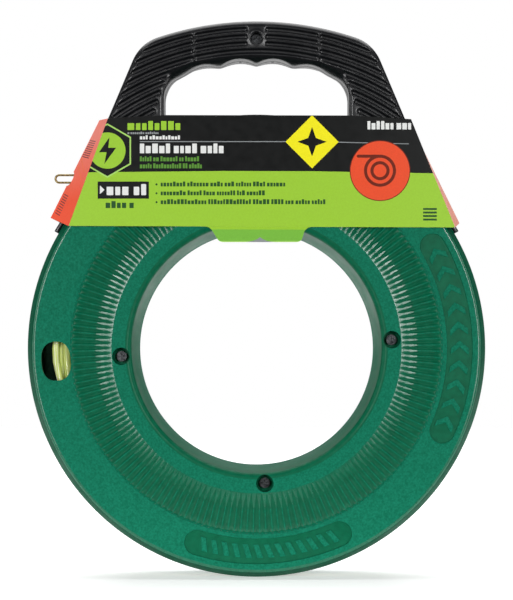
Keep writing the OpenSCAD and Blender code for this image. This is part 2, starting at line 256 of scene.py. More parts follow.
def tube(route, radius, sides=16, closed=False):
    """A round tube along bench points."""
    route = np.asarray(route, float)
    along = np.gradient(route, axis=0) if not closed else np.roll(route, -1, 0) - np.roll(route, 1, 0)
    along /= np.linalg.norm(along, axis=1)[:, None]
    side = np.cross(along, (0, 0, 1))
    side /= np.linalg.norm(side, axis=1)[:, None]
    up = np.cross(side, along)
    turn = 2 * np.pi * np.arange(sides) / sides
    ring = np.cos(turn)[None, :, None] * side[:, None] + np.sin(turn)[None, :, None] * up[:, None]
    points = (route[:, None] + radius * ring).reshape(-1, 3)
    count = len(route)
    faces = []
    for i in range(count if closed else count - 1):
        a, b = i * sides, (i + 1) % count * sides
        faces += [[a + k, a + (k + 1) % sides, b + (k + 1) % sides, b + k] for k in range(sides)]
    if not closed:
        faces += [list(range(sides))[::-1], [(count - 1) * sides + k for k in range(sides)]]
    return points, faces


# ---- Materials ----

class Shader:
    """A Principled material and the node calls that the materials below share."""

    def __init__(self, name, **values):
        self.material = bpy.data.materials.new(name)
        self.material.use_nodes = True
        self.tree = self.material.node_tree
        self.surface = self.tree.nodes["Principled BSDF"]
        for socket, value in values.items():
            self.surface.inputs[socket.replace("_", " ")].default_value = value
        self.coordinates = self.node("ShaderNodeTexCoord").outputs["Object"]

    def node(self, kind, **links):
        made = self.tree.nodes.new(kind)
        for socket, value in links.items():
            target = made.inputs[socket.replace("_", " ")]
            if isinstance(value, bpy.types.NodeSocket):
                self.tree.links.new(value, target)
            else:
                target.default_value = value
        return made

    def noise(self, feature_mm, detail=2.0, roughness=0.5, stretch=None):
        vector = self.coordinates
        if stretch:
            scaled = self.node("ShaderNodeMapping", Vector=vector)
            scaled.inputs["Scale"].default_value = stretch
            vector = scaled.outputs["Vector"]
        made = self.node("ShaderNodeTexNoise", Vector=vector, Scale=1 / (feature_mm * MM), Detail=detail)
        made.inputs["Roughness"].default_value = roughness
        return made.outputs["Fac"]

    def ramp(self, factor, stops):
        made = self.node("ShaderNodeValToRGB", Fac=factor)
        elements = made.color_ramp.elements
        for i, (at, colour) in enumerate(stops):
            element = elements[i] if i < 2 else elements.new(at)
            element.position = at
            element.color = (*colour, 1)
        return made.outputs["Color"]

    def spread(self, factor, low, high, at=(0.0, 1.0)):
        made = self.node("ShaderNodeMapRange", Value=factor)
        for socket, value in zip(("From Min", "From Max", "To Min", "To Max"), (*at, low, high)):
            made.inputs[socket].default_value = value
        return made.outputs["Result"]

    def bump(self, height, depth_mm, strength):
        made = self.node("ShaderNodeBump", Height=height, Distance=depth_mm * MM, Strength=strength)
        return made.outputs["Normal"]

    def link(self, output, socket):
        self.tree.links.new(output, self.surface.inputs[socket])


def moulded(name, dark, light, rough, gloss, grain_mm, grain_depth):
    """Injection-moulded plastic: fine grain in the relief, faint cloudy patches in colour and gloss."""
    s = Shader(name, Roughness=rough, Specular_IOR_Level=gloss)
    grain = s.noise(grain_mm, detail=3)
    patches = s.noise(14, detail=4)
    s.link(s.ramp(s.noise(grain_mm * 1.6, detail=3), [(0.3, dark), (0.7, light)]), "Base Color")
    s.link(s.spread(patches, rough * 0.86, rough * 1.14, (0.3, 0.7)), "Roughness")
    s.link(s.bump(grain, grain_depth, 0.9), "Normal")
    return s.material


def nylon():
    """Translucent drawn nylon: streaks that follow the winding round the case, and slight clouding."""
    s = Shader("nylon_tape", Roughness=0.22, Coat_Weight=0.3,
               Subsurface_Weight=0.25, Subsurface_Scale=0.003, Subsurface_Radius=(1.0, 1.0, 0.4))
    flat = s.node("ShaderNodeVectorMath", Vector=s.coordinates)
    flat.operation = "MULTIPLY"
    flat.inputs[1].default_value = (1, 0, 1)
    from_axis = s.node("ShaderNodeVectorMath", Vector=flat.outputs["Vector"])
    from_axis.operation = "LENGTH"
    streaks = s.node("ShaderNodeTexNoise", Scale=1 / (0.9 * MM), Detail=3)
    streaks.noise_dimensions = "1D"
    s.tree.links.new(from_axis.outputs["Value"], streaks.inputs["W"])
    tones = [(0.3, (0.50, 0.62, 0.09)), (0.5, (0.76, 0.84, 0.26)), (0.7, (0.92, 0.96, 0.62))]
    s.link(s.ramp(streaks.outputs["Fac"], tones), "Base Color")
    s.link(s.spread(s.noise(2.5), 0.16, 0.30), "Roughness")
    s.link(s.bump(s.noise(1.2, detail=2), 0.03, 0.6), "Normal")
    return s.material


def metal(name, dark, light, rough):
    """Drawn or plated metal with fine scratches and dulled patches."""
    s = Shader(name, Metallic=1.0, Roughness=rough)
    s.link(s.ramp(s.noise(3, detail=5), [(0.32, dark), (0.7, light)]), "Base Color")
    s.link(s.spread(s.noise(1.1, detail=4), rough * 0.7, rough * 1.35, (0.3, 0.7)), "Roughness")
    s.link(s.bump(s.noise(0.5, stretch=(1, 1, 6)), 0.02, 0.7), "Normal")
    return s.material


def ink(name, colour, rough=0.36, top_colour=None):
    """Ink on varnished card: paper fibre and a slightly uneven print, with a paler second colour blended in
    towards the top if one is given.
    """
    s = Shader(name, Roughness=rough, Coat_Weight=0.05, Coat_Roughness=0.2, Specular_IOR_Level=0.15)
    uneven = s.noise(1.1, detail=5, roughness=0.65)

    def printed_tone(tone):
        return s.ramp(uneven, [(0.28, [0.93 * c for c in tone]), (0.74, [min(1.05 * c, 1) for c in tone])])

    shade = printed_tone(colour)
    if top_colour:
        blend_heights = (0.105, 0.150)
        height = s.node("ShaderNodeSeparateXYZ", Vector=s.coordinates).outputs["Z"]
        blend = s.node("ShaderNodeMix", Factor=s.spread(height, 0, 1, blend_heights))
        blend.data_type = "RGBA"
        s.tree.links.new(shade, blend.inputs[6])
        s.tree.links.new(printed_tone(top_colour), blend.inputs[7])
        shade = blend.outputs[2]
    s.link(shade, "Base Color")
    s.link(s.spread(s.noise(6, detail=4), rough * 0.85, rough * 1.15, (0.3, 0.7)), "Roughness")
    s.link(s.bump(s.noise(0.45, detail=4), 0.012, 0.8), "Normal")
    return s.material


CASE_GREENS = {
    "textured": ((0.0022, 0.124, 0.066), (0.007, 0.196, 0.113), 0.5, 0.05, 0.8, 0.07),
    "smooth": ((0.0008, 0.100, 0.046), (0.0018, 0.130, 0.062), 0.34, 0.12, 2.5, 0.012),
    # inside: the same green darkened to near black, painted shade for the shell's inner faces seen through
    # the window
    "inside": ((0.004, 0.016, 0.010), (0.008, 0.028, 0.017), 0.6, 0.1, 0.9, 0.05),
    "polished": ((0.001, 0.112, 0.054), (0.003, 0.145, 0.074), 0.27, 0.55, 2.5, 0.008),
    # rim: the same green darkened, painted shade for the outer edge's draft wall
    "rim": ((0.0006, 0.070, 0.033), (0.0012, 0.092, 0.046), 0.5, 0.02, 2.5, 0.012),
    "hub": ((0.0012, 0.118, 0.056), (0.004, 0.155, 0.080), 0.45, 0.24, 0.9, 0.03),
}
CASE_FINISHES = [moulded("case_green_" + name, *look) for name, look in CASE_GREENS.items()]
TEXTURED, SMOOTH, PAINTED_SHADE_INSIDE, POLISHED, PAINTED_SHADE_RIM, HUB = range(len(CASE_FINISHES))
BLACK_TONES = (0.0035, 0.0038, 0.0048), (0.0075, 0.008, 0.0098)
BLACK = moulded("handle_black_satin", *BLACK_TONES, 0.32, 0.6, 0.9, 0.015)
NYLON = nylon()
BRASS = metal("fitting_brass", (0.20, 0.145, 0.055), (0.36, 0.27, 0.12), 0.38)
BLACK_STEEL = metal("screw_black_steel", (0.035, 0.037, 0.040), (0.13, 0.135, 0.14), 0.33)

INKS = {
    "lime": ink("ink_lime", (0.350, 0.630, 0.042)),
    "black": ink("ink_black", (0.0045, 0.005, 0.005)),
    "white": ink("ink_white", (0.84, 0.85, 0.83)),
    "pale": ink("ink_pale_lime", (0.42, 0.72, 0.16)),
    "yellow": ink("ink_yellow", (0.97, 0.88, 0.012)),
    "orange": ink("ink_orange", (0.87, 0.085, 0.026)),
    "maroon": ink("ink_maroon", (0.16, 0.018, 0.006)),
    "grey": ink("ink_grey", (0.30, 0.32, 0.33)),
    "dark_green": ink("ink_dark_green", (0.02, 0.09, 0.02)),
    "dark_lime": ink("ink_dark_lime", (0.11, 0.30, 0.04)),
    # Painted shade: the card's lime darkened for the tab, which tilts back from the panel.
    "tab_green": ink("ink_tab_green", (0.21, 0.53, 0.06)),
    "salmon": ink("ink_salmon", (0.95, 0.12, 0.06), top_colour=(0.97, 0.25, 0.19)),
    "pale_salmon": ink("ink_pale_salmon", (0.86, 0.30, 0.21), top_colour=(0.93, 0.46, 0.38)),
    "patch": ink("ink_glue_patch", (0.17, 0.055, 0.065)),
    "bright": ink("ink_bright_orange", (0.95, 0.20, 0.075)),
    "board": ink("bare_board", (0.62, 0.60, 0.55), 0.6),
}


# ---- Case ----

def groove_half(r):
    return math.pi / PITCHES * r - RIB_W / 2


def section_rows(hub_low):
    """One shell's section from the hub joint out and back inside: (r, z, groove size 0 to 1, finish)."""
    rows = []

    def add(r, z, groove=0.0, finish=SMOOTH):
        rows.append((r, z, groove, finish))

    if hub_low < HUB_LAND:
        add(HUB_R + 0.3, hub_low, 0, TEXTURED)
        add(HUB_R, hub_low + 0.3, 0, TEXTURED)
    add(HUB_R, HUB_LAND - 0.4, 0, TEXTURED)
    cone = math.degrees(math.atan2(HUB_FACE_R - HUB_ROUND - HUB_R, CASE_HALF - HUB_ROUND - HUB_LAND))
    rounding = arc((HUB_FACE_R, CASE_HALF - HUB_ROUND), HUB_ROUND, 180 - cone, 90, 12)
    for share in (0.03, 0.33, 0.66, 0.95):
        add(*(np.array([HUB_R, HUB_LAND]) + share * (rounding[0] - (HUB_R, HUB_LAND))), 0,
            HUB if share < 0.5 else SMOOTH)
    for r, z in rounding:
        add(r, z)
    for r in (HUB_FACE_R + 0.3, 96.5, 100):
        add(r, CASE_HALF, 0, TEXTURED)
    add(INNER_BAND_R - 0.2, CASE_HALF, 0, TEXTURED)
    add(INNER_BAND_R + 0.05, CASE_HALF - 0.02, 0.005, TEXTURED)
    for share in (0.04, 0.1, 0.2, 0.32, 0.44, 0.56, 0.68, 0.8, 0.9, 0.97):
        r = INNER_BAND_R + share * (FLUTE_IN_R - INNER_BAND_R)
        add(r, CASE_HALF + share * (FLUTE_Z - CASE_HALF), share)
    for r in (FLUTE_IN_R + 0.4, 118, 122, 126, 128, 130, FLUTE_OUT_R - 0.6):
        add(r, FLUTE_Z, 1.0)
    add(FLUTE_OUT_R, FLUTE_Z + 0.15, 0.97, TEXTURED)
    add(OUTER_BAND_R, BAND_Z - 0.35, 0, TEXTURED)
    add(OUTER_BAND_R + 0.15, BAND_Z - 0.06, 0, TEXTURED)
    for r in (OUTER_BAND_R + 0.45, 140, 149):
        add(r, BAND_Z, 0, TEXTURED)
    # The edge rounding's outer rows and the draft wall below it take the darker rim finish, which is painted
    # shade.
    edge = arc((EDGE_R, BAND_Z - EDGE_ROUND), EDGE_ROUND, 90, DRAFT, 6)
    for i, (r, z) in enumerate(edge):
        add(r, z, 0, POLISHED if i < 5 else PAINTED_SHADE_RIM)
    for share in (0.35, 0.7):
        add(*(edge[-1] + share * (np.array([CASE_R, RIM_BAND_Z]) - edge[-1])), 0, PAINTED_SHADE_RIM)
    for r, z in ((CASE_R - 0.2, RIM_BAND_Z + 0.5), (CASE_R, RIM_BAND_Z - 0.3), (CASE_R, RIM_SLOT_Z + 0.6),
                 (CASE_R - 0.2, RIM_SLOT_Z + 0.15), (CASE_R - 0.6, RIM_SLOT_Z)):
        add(r, z, 0, TEXTURED)
    # The inner faces take the near-black finish, which is painted shade.
    for r, z in ((CASE_R - WALL, RIM_SLOT_Z), (CASE_R - WALL, RIM_BAND_Z - 0.6),
                 (EDGE_R, BAND_Z - WALL - 0.6), (EDGE_R - 1.2, BAND_Z - WALL),
                 (OUTER_BAND_R + 0.6, BAND_Z - WALL), (FLUTE_OUT_R, FLUTE_Z - WALL),
                 (FLUTE_IN_R, FLUTE_Z - WALL), (INNER_BAND_R, CASE_HALF - WALL - 0.6),
                 (HUB_FACE_R + 0.6, CASE_HALF - WALL - 0.6), (HUB_FACE_R - 1.2, CASE_HALF - WALL - 2.4),
                 (HUB_R + WALL, HUB_LAND), (HUB_R + WALL, hub_low)):
        if rows[-1][:2] != (r, z):
            add(r, z, 0, PAINTED_SHADE_INSIDE)
    return rows


def shell_grid(hub_low, side):
    """The revolved shell with its flutes: side is 1 for the front and -1 for the rear."""
    rows = section_rows(hub_low)
    half_pitch = math.pi / PITCHES
    columns = len(GROOVE_COLUMNS) + 1
    pitch_at = np.arange(PITCHES)[:, None] * 2 * half_pitch
    spread = np.array([*GROOVE_COLUMNS, 0.0])
    points = []
    for r, z, groove, _ in rows:
        half = groove_half(r) * groove ** LAND_TAPER / r if groove else half_pitch * EVEN_SPREAD
        turn = pitch_at + spread[None, :] * half
        turn[:, -1] = pitch_at[:, 0] + half_pitch
        run_out = min(max((OUTER_BAND_R - r) / 5, 0.12), 1)
        depth = FLUTE_DEPTH * run_out * groove ** 1.15 * (1 - spread ** 2)
        depth[-1] = 0
        height = np.broadcast_to(z - depth[None, :], turn.shape)
        ring = (r * np.cos(turn), r * np.sin(turn), side * height)
        points.append(np.stack(ring, axis=-1).reshape(-1, 3))
    count = PITCHES * columns
    a = np.arange(count)
    b = (a + 1) % count
    faces, indices = [], []
    for k in range(len(rows)):
        low, high = k * count, (k + 1) % len(rows) * count
        quad = np.column_stack((low + a, low + b, high + b, high + a))
        faces.append(quad if side < 0 else quad[:, ::-1])
        on_rib = (a % columns >= columns - 2) & (rows[k][2] > 0)
        indices += list(np.where(on_rib, TEXTURED if rows[k][2] == 1 else POLISHED, rows[k][3]))
    return np.vstack(points), np.vstack(faces), indices


def window_outline():
    """An upright oval, flatter at its sides."""
    a = np.radians(np.arange(0, 360, 5))
    power = 2 / 2.5
    outwards = WINDOW_HALF * np.sign(np.cos(a)) * np.abs(np.cos(a)) ** power
    sideways = WINDOW_R * np.sign(np.sin(a)) * np.abs(np.sin(a)) ** power
    from_axis, turn = WINDOW_AT
    along, across = polar(1, turn), polar(1, turn + 90)
    return (from_axis + outwards)[:, None] * along + sideways[:, None] * across


def badge_outline(span, inset):
    """A band sector with round ends."""
    middle, half = (BADGE_IN + BADGE_OUT) / 2, (BADGE_OUT - BADGE_IN) / 2 - inset
    steps = int((span[1] - span[0]) / 1.5)
    ends = [polar(middle, s) for s in span]
    return np.vstack((
        arc((0, 0), middle + half, span[0], span[1], steps)[:-1],
        arc(ends[1], half, span[1], span[1] + 180, 20)[:-1],
        arc((0, 0), middle - half, span[1], span[0], steps)[:-1],
        arc(ends[0], half, span[0] + 180, span[0] + 360, 20)[:-1],
    ))


def screw_places():
    return [polar(SCREW_R, SCREW_ANGLE + 90 * i) for i in range(4)]


def lathe_cutter(centre, profile, steps=48):
    return stacked([(arc(centre, r, 0, 360 * (1 - 1 / steps), steps - 1), z) for r, z in profile])


def front_shell():
    """The shell with its screw wells, screw holes, window and badge recesses."""
    points, faces, indices = shell_grid(-HUB_LAND, 1)
    shell = new_mesh("case_front", points, faces, CASE_FINISHES, indices)
    well_r = RECESS_R + WELL_WALL
    well = [(well_r, SEAT_Z - 2.5), (well_r, CASE_HALF - WALL - 0.3)]
    hole = [(SCREW_HOLE_R, 0), (SCREW_HOLE_R, SEAT_Z), (RECESS_R - 0.5, SEAT_Z), (RECESS_R, SEAT_Z + 0.5),
            (RECESS_R, CASE_HALF + 2)]
    wells = [lathe_cutter(centre, well) for centre in screw_places()]
    cuts = [lathe_cutter(centre, hole) for centre in screw_places()]
    cuts.append(stacked([(window_outline(), BAND_Z - 4), (window_outline(), BAND_Z + 2)]))
    for span in (BADGE_RIGHT, BADGE_LOW):
        levels = ((0.3, BADGE_Z), (0, BAND_Z - 0.15), (0, BAND_Z + 2))
        cuts.append(stacked([(badge_outline(span, inset), z) for inset, z in levels]))
    for name, solids, operation in (("wells", wells, "UNION"), ("cuts", cuts, "DIFFERENCE")):
        finishes = [SMOOTH] * sum(len(f) for _, f in solids)
        boolean(shell, new_mesh(name, *joined(solids), CASE_FINISHES, finishes), operation)
    soften(shell, RIB_SHARP)
    settle(shell, "case", "case_green", "case_front_shell")


def rear_shell():
    points, faces, indices = shell_grid(HUB_LAND, -1)
    shell = new_mesh("case_rear", points, faces, CASE_FINISHES, indices, RIB_SHARP)
    settle(shell, "case", "case_green", "case_rear_shell")


def badge_mark(outline, at, lean):
    """A raised mark in a badge: its outline is (along the rim, outwards) from the middle at an angle."""
    middle = (BADGE_IN + BADGE_OUT) / 2
    outline = np.asarray(outline, float)
    r = middle + outline[:, 1]
    turn = math.radians(at) + (outline[:, 0] + lean * outline[:, 1]) / middle
    flat = np.column_stack((r * np.cos(turn), r * np.sin(turn)))
    return stacked([(flat[::-1], BADGE_Z - 0.1), (flat[::-1], BADGE_Z + 0.6)])


def badge_marks():
    """Rows of chevrons and slanted bars, which show the way the case turns."""
    chevron = [(-5.4, 6.4), (-0.8, 6.4), (4.6, 0), (-0.8, -6.4), (-5.4, -6.4), (0, 0)]
    bar = [(-2, 4.8), (2, 4.8), (2, -4.8), (-2, -4.8)]
    solids = []
    for mark, lean, (start, end), margin, count in (
        (chevron, 0, BADGE_RIGHT, 2.5, 10), (bar, 0.35, BADGE_LOW, 2, 13)):
        solids += [badge_mark(mark, a, lean) for a in np.linspace(start + margin, end - margin, count)]
    marks = new_mesh("badge_marks", *joined(solids), [CASE_FINISHES[TEXTURED]])
    bevel = marks.modifiers.new("round", "BEVEL")
    bevel.width = 0.22 * MM
    bevel.segments = 2
    apply_modifiers(marks)
    soften(marks, 50)
    settle(marks, "case", "case_green")


# ---- Tape ----

def wound_tape():
    """Layers of turns: one place is free in the outermost for the lead and in the innermost for the tail."""
    per_turn = 90
    turn = 2 * np.pi * np.arange(per_turn) / per_turn
    solids = []
    for layer in range(LAYERS):
        for k in range(TURNS_ACROSS):
            offset = k - TURNS_ACROSS // 2
            if (layer == 0 and offset == 0) or (layer == LAYERS - 1 and offset == -1):
                continue
            phase, sway = draw.uniform(0, 6.28), draw.uniform(0.05, 0.2)
            r = TURN_R - 0.25 - 2 * TAPE_R * layer + sway * np.sin(turn * draw.choice((2, 3)) + phase)
            z = offset * 2 * TAPE_R + 0.12 * np.sin(turn * 2 + phase)
            if layer == 0 and offset == TURNS_ACROSS // 2:
                away = (np.degrees(turn) - 181.5 + 180) % 360 - 180
                r = r + 3.6 * np.exp(-(away / 9) ** 2)
                z = z - 0.4
            route = np.column_stack((r * np.cos(turn), r * np.sin(turn), z))
            solids.append(tube(route, TAPE_R - 0.03, 12, closed=True))
    coil = new_mesh("tape_winding", *joined(solids), [NYLON])
    settle(coil, "case", "tape_nylon", "tape_coil")


def lead_tape():
    """From the guide down to the outer layer: a bend, a straight and a wrap."""
    bend_r, guide_in, wrap = 80, -100, 30
    centre_up = EXIT_UP + bend_r
    reach = math.hypot(guide_in, centre_up)
    lead = math.degrees(math.atan(-guide_in / centre_up) - math.acos((TURN_R + bend_r) / reach))
    bent = arc((guide_in, centre_up), bend_r, -90, lead - 90, 9)
    wound = arc((0, 0), TURN_R, 90 + lead, 90 + lead - wrap, 15)
    route = np.vstack((bent, np.linspace(bent[-1], wound[0], 5)[1:-1], wound))
    piece = new_mesh("tape_lead_out", *tube(np.pad(route, ((0, 0), (0, 1))), TAPE_R), [NYLON])
    settle(piece, "handle", "tape_nylon", "tape_lead")


def tail_tape():
    """The inner end: from its brass end piece at a screw boss round into the innermost layer."""
    inner_r = COIL_R - (LAYERS - 0.5) * 2 * TAPE_R
    reach, stub, boss = 20, 4.5, SCREW_ANGLE - 90
    span = inner_r + SCREW_R
    r = (span ** 2 - reach ** 2) / (2 * span)
    shift = inner_r - r
    start = boss + math.degrees(math.acos(r / (SCREW_R + shift)))
    curve = arc(polar(-shift, boss), r, start, boss + 180, 49)
    route = np.vstack((curve[0] + polar(stub, start - 90), curve))
    level = np.full(len(route), -2 * TAPE_R)
    piece = new_mesh("tape_inner_end", *tube(np.column_stack((route, level)), TAPE_R), [NYLON])
    settle(piece, "case", "tape_nylon", "tape_inner_tail")


# ---- Handle, as a field of distances turned into a mesh ----

def round_max(a, b, r):
    """Both a and b, with a rounded edge where they meet."""
    return np.minimum(np.maximum(a, b), -r) + np.hypot(np.maximum(a + r, 0), np.maximum(b + r, 0))


def round_min(a, b, r):
    return -round_max(-a, -b, r)


def outline_distance(outline, x, y):
    """Distance to a closed outline, negative inside."""
    best = np.full(x.shape, 1e9)
    inside = np.zeros(x.shape, bool)
    for (ax, ay), (bx, by) in zip(outline, np.roll(outline, -1, 0)):
        ex, ey = bx - ax, by - ay
        t = np.clip(((x - ax) * ex + (y - ay) * ey) / (ex * ex + ey * ey + 1e-12), 0, 1)
        best = np.minimum(best, (x - ax - t * ex) ** 2 + (y - ay - t * ey) ** 2)
        crosses = (ay > y) != (by > y)
        if ey:
            inside ^= crosses & (x < ax + (y - ay) * ex / ey)
    return np.where(inside, -1, 1) * np.sqrt(best)


def grip_outline():
    """The handle seen from the front: the curved top, round shoulders and legs down to the saddle."""
    normal, along = polar(1, 180 - LEG_LEAN), polar(1, 90 - LEG_LEAN)
    shoulder_in = LEG_LINE - SHOULDER_R - normal[1] * GRIP_CENTRE
    shoulder_along = math.sqrt((GRIP_CURVE_R - SHOULDER_R) ** 2 - shoulder_in ** 2)
    shoulder = normal * shoulder_in + along * shoulder_along
    turn = math.degrees(math.atan2(shoulder[1], shoulder[0]))
    foot_r = SADDLE_OUT - 1.2
    side = np.vstack((
        arc((0, GRIP_CENTRE), GRIP_CURVE_R, 90, turn, 16),
        arc(shoulder + (0, GRIP_CENTRE), SHOULDER_R, turn, 180 - LEG_LEAN, 12)[1:],
        [normal * LEG_LINE + along * math.sqrt(foot_r ** 2 - LEG_LINE ** 2)],
    ))
    return np.vstack((side, (side * [-1, 1])[::-1][:-1]))


def opening_distance(x, y):
    """The finger opening without its grooves: a gently curved top and round upper corners."""
    half, corner, corner_up, top, curve_r = 66.8, 17.4, 180.5, 205.4, 300
    side = np.vstack(([[-half, 60]], arc((corner - half, corner_up), corner, 180, 112, 8),
                      arc((0, top - curve_r), curve_r, 98.8, 90, 6)))
    return outline_distance(np.vstack((side, (side[:-1] * [-1, 1])[::-1])), x, y)


def finger_grooves(x, y):
    """Four grooves across the grip's underside."""
    pitch, groove = 23.5, 23
    shape = np.full(x.shape, 1e3)
    for i, up in ((-1.5, 205), (-0.5, 208.7), (0.5, 208.7), (1.5, 205)):
        shape = round_min(shape, np.hypot(x - i * pitch, y - up + groove) - groove, 1.2)
    return shape


def slots_distance(x, y):
    """Curved rib slots round one centre: four rows run over the grip, the rest end on the legs."""
    centre_up, first_r, pitch, half = 20, 209.5, 5.2, 1.45
    inner = (47, 47, 47, 47, 63.2, 66.9, 70.1, 71.9, 74.2)
    outer = (80.5, 85.5, 89, 92.5, 96, 99, 102, 104.5, 107)
    strip, boss = 4, 8
    from_centre = np.hypot(x, y - centre_up)
    across = np.abs(x)
    best = np.full(x.shape, 1e9)

    def stretch(r, low, high):
        """Distance to the arc between two distances from the middle line."""
        gap = np.abs(from_centre - r)
        for at, beyond in ((low, across < low), (high, across > high)):
            end = math.sqrt(r * r - at * at) + centre_up
            gap = np.where(beyond, np.hypot(across - at, y - end), gap)
        return gap - half

    for i in range(len(inner)):
        r = first_r - i * pitch
        best = np.minimum(best, stretch(r, inner[i], outer[i]))
        if i < 3:
            best = np.minimum(best, stretch(r, boss, inner[i] - strip))
        elif i == 3:
            best = np.minimum(best, stretch(r, -1, inner[i] - strip))
    return np.where(y > centre_up, best, 1e3)


def handle_field(x, y, z, recessed):
    """Distance to the handle's surface, with z from the parting plane outwards."""
    grip_edge_r, boss_r, boss_rise, rib_depth = 5.0, 6.0, 0.35, 2.6
    head_r, head_floor = 4.25, 5.0
    guide_r, guide_x, guide_half = 7, -118, 7
    bore_ends = ((4.55, -87), (6.4, -125))
    flat = (x[:, :, 0], y[:, :, 0])
    r = np.hypot(*flat)
    lean = np.degrees(np.abs(np.arctan2(flat[0], flat[1])))

    def sector(r_in, r_out, half_angle):
        """A ring sector's distance, with the ends measured along the arc."""
        ends = np.radians(lean - half_angle) * r
        return np.maximum(np.maximum(r - r_out, r_in - r), ends)[:, :, None]

    slab = np.maximum(outline_distance(grip_outline(), *flat), SADDLE_IN + 0.9 - r)[:, :, None]
    body = round_max(slab, z - HANDLE_HALF, grip_edge_r)
    rise = np.clip((flat[1] - 186) / 12, 0, 1)
    pillow = (3 + 8.5 * rise * rise * (3 - 2 * rise))[:, :, None]
    body = round_max(body, -opening_distance(*flat)[:, :, None], pillow)
    body = round_max(body, -finger_grooves(*flat)[:, :, None], 0.8)
    boss = np.hypot(flat[0], flat[1] - GRIP_SCREW_UP)[:, :, None]
    body = round_min(body, round_max(boss - boss_r, z - HANDLE_HALF - boss_rise, 0.5), 0.8)
    saddle = round_max(sector(SADDLE_IN, SADDLE_OUT, 60), z - SADDLE_Z, 1.1)
    body = round_min(body, saddle, 3.0)
    neck = np.maximum(sector(CASE_R - 4, SADDLE_IN + 1, 58), z - NECK_Z)
    flange = round_max(sector(FLANGE_IN, FLANGE_OUT, 58), z - FLANGE_Z, 0.6)
    body = np.minimum(np.minimum(body, neck), flange)
    slots = round_max(slots_distance(*flat)[:, :, None], HANDLE_HALF - rib_depth - z, 1.1)
    body = round_max(body, -slots, 0.95)
    exit_r = np.hypot(flat[1][:, :, None] - EXIT_UP, z)
    body = np.minimum(body, np.maximum(exit_r - guide_r, np.abs(x - guide_x) - guide_half))
    for bore_r, end_x in bore_ends:
        body = np.maximum(body, -np.maximum(exit_r - bore_r, x - end_x))
    if recessed:
        for at_x, at_y in HANDLE_SCREWS:
            hole = np.hypot(flat[0] - at_x, flat[1] - at_y)[:, :, None]
            body = round_max(body, -np.maximum(hole - head_r, head_floor - z), 0.35)
            body = np.maximum(body, -(hole - SCREW_HOLE_R))
    return np.maximum(body, 0.04 - z)


def surface_net(field, low, step):
    """Points and quads of the surface where the field is zero, one point for each crossed cell."""
    inside = field < 0
    corners = [(i, j, k) for i in (0, 1) for j in (0, 1) for k in (0, 1)]
    size = [n - 1 for n in field.shape]
    total = sum(inside[i:i + size[0], j:j + size[1], k:k + size[2]].astype(np.int8) for i, j, k in corners)
    cells = np.argwhere((total > 0) & (total < 8))
    values = [field[tuple((cells + c).T)] for c in corners]
    add, count = np.zeros((len(cells), 3)), np.zeros(len(cells))
    for a in range(8):
        for b in range(a + 1, 8):
            ca, cb = np.array(corners[a]), np.array(corners[b])
            if abs(ca - cb).sum() != 1:
                continue
            crossed = (values[a] < 0) != (values[b] < 0)
            t = values[a][crossed] / (values[a][crossed] - values[b][crossed])
            add[crossed] += ca + t[:, None] * (cb - ca)
            count[crossed] += 1
    points = (cells + add / count[:, None]) * step + low
    index = np.full(size, -1, np.int64)
    index[tuple(cells.T)] = np.arange(len(cells))
    quads = []
    for axis in range(3):
        one, two = (axis + 1) % 3, (axis + 2) % 3
        edge = np.argwhere(inside != np.roll(inside, -1, axis))
        keep = (edge[:, axis] < size[axis]) & (edge[:, one] > 0) & (edge[:, two] > 0)
        keep &= (edge[:, one] < size[one]) & (edge[:, two] < size[two])
        edge = edge[keep]
        ring = []
        for d_one, d_two in ((0, 0), (1, 0), (1, 1), (0, 1)):
            cell = edge.copy()
            cell[:, one] -= d_one
            cell[:, two] -= d_two
            ring.append(index[tuple(cell.T)])
        ring = np.column_stack(ring)
        outward = inside[tuple(edge.T)]
        ring[~outward] = ring[~outward][:, ::-1]
        quads.append(ring)
    return points, np.vstack(quads)


def handle_half(name, side, node):
    step = 0.6
    low, high = node_size(node)
    low, high = low[:2] - 2 * step, high[:2] + 2 * step
    axes = [np.arange(low[i], high[i], step) for i in (0, 1)]
    axes.append(np.arange(-step, HANDLE_HALF + 3 * step, step))
    x, y, z = np.meshgrid(*axes, indexing="ij", sparse=True)
    x, y = np.broadcast_arrays(x, y)
    field = handle_field(x, y, z, side > 0)
    points, faces = surface_net(field, np.array([a[0] for a in axes]), step)
    points[:, 2] *= side
    if side < 0:
        faces = faces[:, ::-1]
    half = new_mesh(name, points, faces, [BLACK], sharp=60)
    thin = half.modifiers.new("thin", "DECIMATE")
    thin.ratio = 0.3
    apply_modifiers(half)
    soften(half, 50)
    settle(half, "handle", "handle_black", node)


# ---- Card sleeve ----

